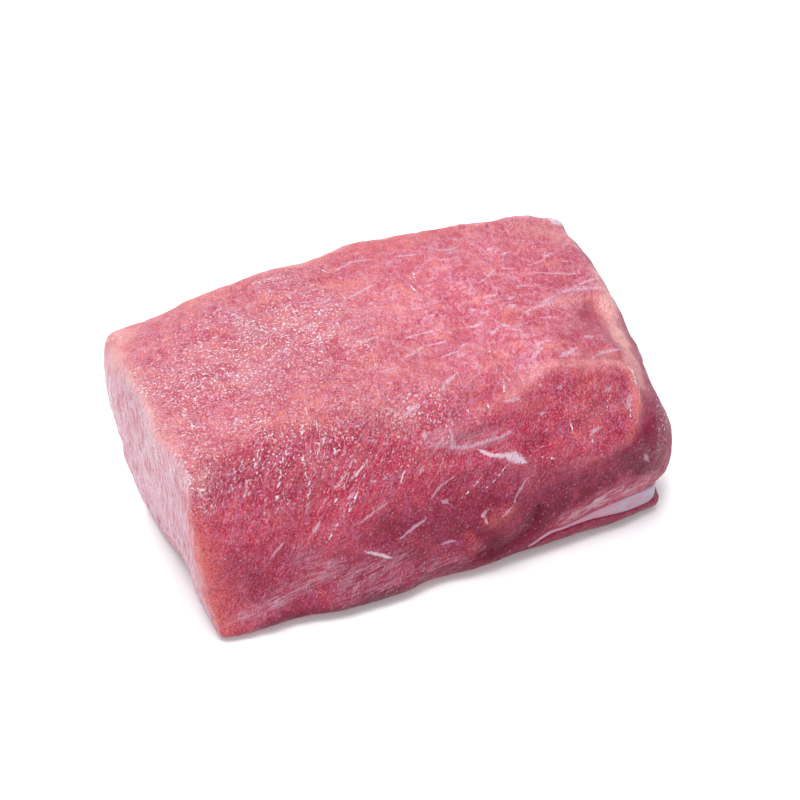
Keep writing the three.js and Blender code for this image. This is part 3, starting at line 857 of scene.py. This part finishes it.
# What covers the lean: the pattern that it follows, where in it the cover starts and is full, and
# how much of it shows there.
leanCovers = {
    "redClouds": ("broad", 0.36, 0.66, 0.6),
    "leanPatches": ("patches", 0.46, 0.62, 1),
    "salmonPatches": ("patches", 0.50, 0.64, 0.75),
    "plumPatches": ("patches", 0.48, 0.36, 0.6),
    "redSpots": ("mottle", 0.50, 0.60, 0.65),
    "salmonSpots": ("mottle", 0.48, 0.38, 0.6),
    "redBands": ("bands", 0.50, 0.62, 0.6),
    "sheenBands": ("bands", 0.47, 0.36, 0.5),
    "redBundles": ("bundles", 0.46, 0.66, 0.3),
    "salmonFibres": ("fibres", 0.50, 0.62, 0.3),
    "darkGrains": ("grains", 0.51, 0.64, 0.8),
    "lightGrains": ("grains", 0.46, 0.34, 1),
    "redStreaks": ("endStreaks", 0.40, 0.64, 1),
    "lilacGrains": ("grains", 0.48, 0.64, 0.6),
    "cutFray": ("fibres", 0.2, 0.5, 1),
    "pits": ("grains", 0.50, 0.64, 0.45),
    "crumbs": ("grains", 0.44, 0.34, 0.2),
    "peachFray": ("grains", 0.72, 0.42, 1),
    "creamFray": ("grains", 0.80, 0.50, 1),
    "hazeSheenStreaks": ("hazeSheenStreaks", 0.40, 0.60, 1),
    "bloodFlecks": ("flecks", 0.60, 0.74, 0.4),
    "shortHighlights": ("breaks", 0.50, 0.58, 1),
    "longHighlights": ("breaks", 0.46, 0.56, 1),
    "wetHighlightLines": ("breaks", 0.46, 0.54, 1),
}

# Winding lines in the lean's patterns: half width in the pattern's own value, and how much shows.
leanThreads = {"veins": (0.04, 0.6), "worms": (0.055, 1), "lines": (0.016, 1)}

# How much of each tone and mark shows where it is full.
shown = {
    "rich": 0.9, "litCrest": 0.7, "hollow": 0.85, "rightCut": 0.9, "calm": 0.7, "leastGrain": 0.35,
    "moreGrain": 0.5, "marbling": 0.7, "flap": 0.8, "wetHighlight": 0.85, "short": 0.5, "long": 0.5,
}

# The glints: where the sparks start and are full, how much shows, how far shine and glare lift the
# sparks, the shine of the streaks and the least shine.
glint = {
    "sparks": (0.70, 0.77, 0.85), "shineLift": 0.06, "glareLift": 0.08, "streakShine": 0.55,
    "leastShine": 0.18,
}

# Among these colours are a painted highlight for fold crests, painted shade tints for the front and its
# shaded places, a painted shade for the right cut, the white of painted highlights and a painted sheen for
# pale bands; the pale left cut, the right cut's lilac, the cream and the haze are partly painted sheen,
# the peach partly painted glow and highlight, and the deep red partly painted shade.
leanLook = {
    "lean": (0.46, 0.088, 0.130), "leanRed": (0.37, 0.022, 0.062), "salmon": (0.57, 0.150, 0.138),
    "pale": (0.70, 0.25, 0.30), "plum": (0.36, 0.030, 0.095), "vein": (0.52, 0.23, 0.34),
    "rich": (0.50, 0.030, 0.080), "sheenBand": (0.50, 0.165, 0.195), "deep": (0.22, 0.006, 0.048),
    "litCrest": (0.56, 0.21, 0.22), "peachGlow": (0.56, 0.108, 0.092), "creamSheen": (0.64, 0.29, 0.28),
    "cutPaleSheen": (0.65, 0.41, 0.50), "cutRed": (0.50, 0.10, 0.155),
    "cutShade": (0.26, 0.020, 0.060), "cutLilacSheen": (0.34, 0.10, 0.16),
    "hazeSheen": (0.46, 0.27, 0.33), "highlightWhite": (0.78, 0.68, 0.75), "fleck": (0.54, 0.33, 0.42),
    "flap": (0.61, 0.48, 0.58), "frontShadeTint": (0.88, 0.58, 0.74), "shadeTint": (0.66, 0.24, 0.54),
    "speckTint": (0.60, 0.47, 0.52), "pitTint": (0.64, 0.54, 0.58),
    "ior": 1.27, "subsurface": 0.10, "subsurfaceScale": 1.1, "subsurfaceRadius": (1.0, 0.32, 0.20),
    "roughness": (0.30, 0.46), "cutRoughness": 0.35, "coat": 0.35, "coatLostInFront": 0.8,
    "coatRoughness": 0.16, "bumpHeight": 1.0, "fibreBump": 0.6, "grainBump": 0.45, "markBump": 0.25,
}


# The lean before its grain: patches, spots, bands whose pale ones are a painted sheen, veins,
# bundles, a painted highlight on fold crests, painted shade in fold hollows and the deep red, partly
# painted shade, over the plain colour.
def fleshColour(tree, look, noise, cover, zone, calm):
    plain = lay(tree, cover["redClouds"], look["lean"], look["leanRed"])
    rich = lay(tree, cover["leanPatches"], look["rich"], look["lean"])
    return layAll(tree, plain, (
        (cover["salmonPatches"], look["salmon"]),
        (cover["plumPatches"], look["plum"]),
        (times(tree, zone["rich"], shown["rich"]), rich),
        (times(tree, cover["redSpots"], calm), look["leanRed"]),
        (times(tree, cover["salmonSpots"], calm), look["salmon"]),
        (times(tree, cover["redBands"], zone["fleck"]), look["leanRed"]),
        # Pale bands in the marbled part: a painted sheen.
        (times(tree, cover["sheenBands"], zone["fleck"]), look["sheenBand"]),
        (threads(tree, noise["veins"], *leanThreads["veins"]), look["vein"]),
        (cover["redBundles"], look["leanRed"]),
        # A painted highlight on fold crests and a painted shade in fold hollows.
        (times(tree, zone["litCrest"], shown["litCrest"]), look["litCrest"]),
        (times(tree, zone["hollow"], shown["hollow"]), look["deep"]),
        # The deep red, partly painted shade.
        (zone["deep"], look["deep"]),
    ))


# Adds fibres, dark and light grain, and the painted shade tints of the front and of its shaded places.
def addGrain(tree, look, cover, zone, calm, notDeep, colour):
    grainy = combine(tree, "ADD", shown["leastGrain"], times(tree, zone["grain"], shown["moreGrain"]))
    fibrous = times(tree, cover["salmonFibres"], notDeep, calm)
    dark = times(tree, cover["darkGrains"], grainy, calm)
    light = times(tree, cover["lightGrains"], grainy, notDeep, calm)
    colour = lay(tree, fibrous, colour, look["salmon"])
    colour = lay(tree, dark, colour, look["speckTint"], "MULTIPLY")
    colour = lay(tree, light, colour, look["pale"])
    # Painted shade: tints that darken the front face and its shaded places.
    colour = lay(tree, zone["front"], colour, look["frontShadeTint"], "MULTIPLY")
    return lay(tree, zone["shade"], colour, look["shadeTint"], "MULTIPLY")


# Adds the streaked left cut, whose pale colour is partly a painted sheen, the right cut in painted
# shade with lilac grains that are partly a painted sheen, pits and crumbs on them and on the front,
# the peach rims, partly a painted glow and highlight, the cream rims, partly a painted sheen, and
# the haze, partly a painted sheen.
def addCuts(tree, look, cover, zone, notDeep, colour):
    # The left cut's pale colour: partly the cut end's own, partly a painted sheen.
    left = lay(tree, cover["redStreaks"], look["cutPaleSheen"], look["cutRed"])
    # The right cut's dark colour is painted shade; its lilac grains are partly a painted sheen.
    right = lay(tree, cover["lilacGrains"], look["cutShade"], look["cutLilacSheen"])
    rough = combine(tree, "MAXIMUM", zone["front"], zone["leftCut"], zone["rightCut"])
    colour = layAll(tree, colour, (
        (times(tree, zone["leftCut"], cover["cutFray"]), left),
        (times(tree, zone["rightCut"], shown["rightCut"]), right),
    ))
    colour = lay(tree, times(tree, cover["pits"], rough), colour, look["pitTint"], "MULTIPLY")
    return layAll(tree, colour, (
        (times(tree, cover["crumbs"], rough, notDeep), look["pale"]),
        # Peach rims, partly a painted glow and highlight.
        (times(tree, zone["peachGlow"], cover["peachFray"]), look["peachGlow"]),
        # Cream rims, partly a painted sheen.
        (times(tree, zone["creamSheen"], cover["creamFray"]), look["creamSheen"]),
        # Haze, partly a painted sheen.
        (times(tree, zone["hazeSheen"], cover["hazeSheenStreaks"]), look["hazeSheen"]),
    ))


# How strong the painted highlights of the wet surface are: the largest of short marks, long
# streaks, glints and drawn lines.
def wetHighlights(tree, noise, cover, zone):
    short = times(tree, threads(tree, noise["worms"], *leanThreads["worms"]), cover["shortHighlights"])
    long = times(tree, threads(tree, noise["lines"], *leanThreads["lines"]), cover["longHighlights"])
    shining = combine(tree, "MAXIMUM", zone["grain"], zone["glare"],
                      times(tree, zone["streak"], glint["streakShine"]))
    lifted = combine(tree, "ADD", noise["sparks"], times(tree, shining, glint["shineLift"]),
                     times(tree, zone["glare"], glint["glareLift"]))
    glints = times(tree, rise(tree, lifted, *glint["sparks"]),
                   combine(tree, "MAXIMUM", shining, glint["leastShine"]))
    return combine(tree, "MAXIMUM", times(tree, short, zone["grain"], shown["short"]),
                   times(tree, long, zone["streak"], shown["long"]), glints,
                   times(tree, drawn(tree, noise, "wetHighlight"), shown["wetHighlight"], cover["wetHighlightLines"]))


# Adds the blood spots, the marbling, the pale flaps and the painted highlights of the wet surface.
def addMarks(tree, look, noise, cover, zone, white, colour):
    flecks = times(tree, zone["fleck"], cover["bloodFlecks"])
    marbled = times(tree, drawn(tree, noise, "marbling"), shown["marbling"])
    return layAll(tree, colour, (
        (drawn(tree, noise, "dark"), look["deep"]),
        (combine(tree, "MAXIMUM", flecks, marbled), look["fleck"]),
        (times(tree, drawn(tree, noise, "flap"), shown["flap"]), look["flap"]),
        # The white of the painted highlights.
        (white, look["highlightWhite"]),
    ))


# A material whose colour and roughness follow its patterns and covers, with bumps of the given
# height, and whose other finishes are plain numbers.
def finishMaterial(name, look, patterns, covers, makeParts):
    material = bpy.data.materials.new(name)
    material.use_nodes = True
    tree = material.node_tree
    surface = tree.nodes["Principled BSDF"]
    noise = {key: pattern(tree, *values) for key, values in patterns.items()}
    cover = {key: rise(tree, noise[source], *limits) for key, (source, *limits) in covers.items()}
    colour, roughness, height, coat = makeParts(tree, look, noise, cover)
    bump = addNode(tree, "ShaderNodeBump", {
        "Height": height, "Strength": 1.0, "Distance": look["bumpHeight"] * mm})
    tree.links.new(colour, surface.inputs["Base Color"])
    tree.links.new(roughness, surface.inputs["Roughness"])
    tree.links.new(bump.outputs[0], surface.inputs["Normal"])
    if coat is None:
        surface.inputs["Coat Weight"].default_value = look["coat"]
    else:
        tree.links.new(coat, surface.inputs["Coat Weight"])
        tree.links.new(bump.outputs[0], surface.inputs["Coat Normal"])
    surface.inputs["IOR"].default_value = look["ior"]
    surface.inputs["Subsurface Weight"].default_value = look["subsurface"]
    surface.inputs["Subsurface Radius"].default_value = look["subsurfaceRadius"]
    surface.inputs["Subsurface Scale"].default_value = look["subsurfaceScale"] * mm
    surface.inputs["Coat Roughness"].default_value = look["coatRoughness"]
    return material


# The lean's colour, roughness, height and coat. The right top is calmer than the rest, and the
# coat thins out on the front.
def leanParts(tree, look, noise, cover):
    zones = (*tones, "leftCut", "rightCut", "litCrest", "hollow", "front")
    zone = {key: attribute(tree, key) for key in zones}
    calm = combine(tree, "SUBTRACT", 1.0, times(tree, zone["fleck"], shown["calm"]))
    notDeep = combine(tree, "SUBTRACT", 1.0, zone["deep"])
    colour = fleshColour(tree, look, noise, cover, zone, calm)
    colour = addGrain(tree, look, cover, zone, calm, notDeep, colour)
    colour = addCuts(tree, look, cover, zone, notDeep, colour)
    # The painted highlights, which also raise the bump slightly.
    white = wetHighlights(tree, noise, cover, zone)
    colour = addMarks(tree, look, noise, cover, zone, white, colour)
    roughness = combine(tree, "ADD", spread(tree, noise["broad"], look["roughness"]),
                        times(tree, zone["rightCut"], look["cutRoughness"]))
    fuzz = combine(tree, "ADD", times(tree, noise["fibres"], look["fibreBump"]),
                   times(tree, noise["grains"], look["grainBump"]))
    height = combine(tree, "ADD", times(tree, fuzz, calm), noise["bundles"],
                     times(tree, white, look["markBump"]))
    dry = combine(tree, "SUBTRACT", 1.0, times(tree, zone["front"], look["coatLostInFront"]))
    return colour, roughness, height, times(tree, dry, look["coat"])


fatPatterns = {"clouds": ((6, 6, 2.5), 0, 3, 0.6, 0), "strands": ((3.5, 1.0, 0.6), 8, 3, 0.6, 2.2)}
fatCovers = {"pinkClouds": ("clouds", 0.48, 0.72, 0.7), "pinkStrands": ("strands", 0.50, 0.64, 0.7)}
fatLook = {
    "white": (0.32, 0.27, 0.34), "pink": (0.42, 0.13, 0.20), "blush": 0.75, "ior": 1.42,
    "subsurface": 0.2, "subsurfaceScale": 1.0, "subsurfaceRadius": (1.0, 0.6, 0.5),
    "roughness": (0.30, 0.48), "coat": 0.2, "coatRoughness": 0.3, "bumpHeight": 0.25,
}


# The fat's colour, roughness and height: pink clouds and strands over white, pinker where it thins.
def fatParts(tree, look, noise, cover):
    colour = layAll(tree, look["white"], (
        (cover["pinkClouds"], look["pink"]),
        (cover["pinkStrands"], look["pink"]),
        (times(tree, attribute(tree, "blush"), look["blush"]), look["pink"]),
    ))
    return colour, spread(tree, noise["clouds"], look["roughness"]), noise["strands"], None


leanMeat = finishMaterial("leanMeat", leanLook, leanPatterns, leanCovers, leanParts)
paleFat = finishMaterial("paleFat", fatLook, fatPatterns, fatCovers, fatParts)
print("materials made")


# The cells of the pieces' grids, and where the ways out to the surface start and end.
mainGrid = {
    "cells": (212, 102, 82), "gather": 0.15, "middle": (0, 2, 30), "core": (54, 19, 10),
    "reach": (90, 50, 44), "halfLength": 72,
}
slabGrid = {"cells": (80, 110, 8), "gather": 0.15, "middleX": 47, "middleY": 2, "reach": 60}
# The front's painted shade tint, its thinner coat and its pits and crumbs follow this slant.
frontSlant = (0.35, 0.85)  # outward slant along -y at which the front's tone starts and is full
sideDarkness = 0.7  # share of the deep red that the whole side muscle has
fatSkin = {
    "relief": 0.12, "reliefSize": (3, 3, 1.5),
    "blush": (38, 62), "blushEdge": 4, "blushSize": (3, 3, 2),
}


# Moves points out along their normals by the fine relief, and gives every tone, line and cut value
# there.
def dressMeat(points, quads):
    normals = vertexNormals(points, quads)
    values = toneValues(points)
    for key, lines in (("marbling", marbling), ("wetHighlight", wetHighlightLines), ("dark", cutLines), ("flap", flaps)):
        values[key + "Across"], values[key + "Near"] = lineValues(points, normals, lines)
    points = points + normals * fineRelief(points, normals, values["streak"])[:, None]
    values["leftCut"], values["rightCut"] = cutValues(points, normals)
    values["front"] = smooth(*frontSlant, -normals[:, 1])
    return points, values


points, quads = wrapBlock(mainGrid, mainField, fatTop)
points, values = dressMeat(points, quads)
makePiece("mainMuscle", points, quads, values, leanMeat, "main_muscle")
print("main muscle made:", len(points), "points")

points, quads = wrapSlab(slabGrid, lambda x: 0 * x, sideTop, sideShape)  # it rests on the floor
points, values = dressMeat(points, quads)
values["deep"] = np.clip(values["deep"] + sideDarkness, 0, 1)
makePiece("sideMuscle", points, quads, values, leanMeat, "side_muscle")

points, quads = wrapSlab(slabGrid, sideTop, fatTop, fatShape)
normals = vertexNormals(points, quads)
lift = fatSkin["relief"] * softNoise(points, fatSkin["reliefSize"], 41)
points = points + normals * lift[:, None]
blushEdge = points[:, 0] + fatSkin["blushEdge"] * softNoise(points, fatSkin["blushSize"], 42)
values = {"blush": 1 - smooth(*fatSkin["blush"], blushEdge)}
makePiece("fatSeam", points, quads, values, paleFat, "fat_seam")
print("fat seam and side muscle made")


# The floor, the room's own light and the soft lights: place and size in metres, and power in watts.
# All of the lights face one place.
studio = {
    "floorSize": 6.0, "floorColour": (0.88, 0.88, 0.89, 1), "floorRoughness": 0.9,
    "worldColour": (0.92, 0.96, 1.0, 1), "worldStrength": 0.5,
    "topBox": ((-0.2, -0.2, 1.2), (0.6, 0.6), 12.3),
    "backBox": ((0.1, 1.05, 0.85), (1.1, 0.8), 15),
    "frontBox": ((-0.5, -1.05, 0.7), (0.9, 0.7), 8), "facing": (0, 0, 0.03),
}

floorMesh = bpy.data.meshes.new("floor")
half = studio["floorSize"] / 2
floorCorners = [(-half, -half, 0), (half, -half, 0), (half, half, 0), (-half, half, 0)]
floorMesh.from_pydata(floorCorners, [], [(0, 1, 2, 3)])
floor = bpy.data.objects.new("floor", floorMesh)
bpy.context.scene.collection.objects.link(floor)
floorPaint = bpy.data.materials.new("floorPaint")
floorPaint.use_nodes = True
floorSurface = floorPaint.node_tree.nodes["Principled BSDF"]
floorSurface.inputs["Base Color"].default_value = studio["floorColour"]
floorSurface.inputs["Roughness"].default_value = studio["floorRoughness"]
floorMesh.materials.append(floorPaint)

world = bpy.data.worlds.new("studio")
bpy.context.scene.world = world
world.use_nodes = True
world.node_tree.nodes["Background"].inputs["Color"].default_value = studio["worldColour"]
world.node_tree.nodes["Background"].inputs["Strength"].default_value = studio["worldStrength"]


# An area light at a place in metres, turned to face the block.
def softbox(name, place, size, power):
    light = bpy.data.lights.new(name, "AREA")
    light.shape = "RECTANGLE"
    light.size, light.size_y = size
    light.energy = power
    lamp = bpy.data.objects.new(name, light)
    lamp.location = place
    way = Vector(studio["facing"]) - Vector(place)
    lamp.rotation_euler = way.to_track_quat("-Z", "Y").to_euler()
    bpy.context.scene.collection.objects.link(lamp)


for lightName in ("topBox", "backBox", "frontBox"):
    softbox(lightName, *studio[lightName])

view = {
    "azimuth": -22.5, "elevation": 38, "distance": 0.72, "mmPerPixel": 0.27,
    "target": (-0.002, -0.0014, 0.027), "targetPixel": (387, 427), "frame": 800, "sensor": 36,
}


# A camera whose view axis passes the frame's middle, placed so that the target is at its pixel.
def makeCamera(v):
    a, e = radians(v["azimuth"]), radians(v["elevation"])
    back = Vector((sin(a) * cos(e), -cos(a) * cos(e), sin(e)))
    right = Vector((cos(a), sin(a), 0))
    up = back.cross(right)
    pixel = v["mmPerPixel"] * mm
    across, down = (v["targetPixel"][i] - v["frame"] / 2 for i in (0, 1))
    aim = Vector(v["target"]) - right * across * pixel + up * down * pixel
    data = bpy.data.cameras.new("camera")
    data.sensor_width = v["sensor"]
    data.lens = v["sensor"] * v["distance"] / (pixel * v["frame"])
    camera = bpy.data.objects.new("camera", data)
    turn = Matrix((right, up, back)).transposed().to_4x4()
    camera.matrix_world = Matrix.Translation(aim + back * v["distance"]) @ turn
    bpy.context.scene.collection.objects.link(camera)
    return camera


bpy.context.scene.camera = makeCamera(view)
bpy.context.scene.view_settings.view_transform = "Standard"

print("scene made")
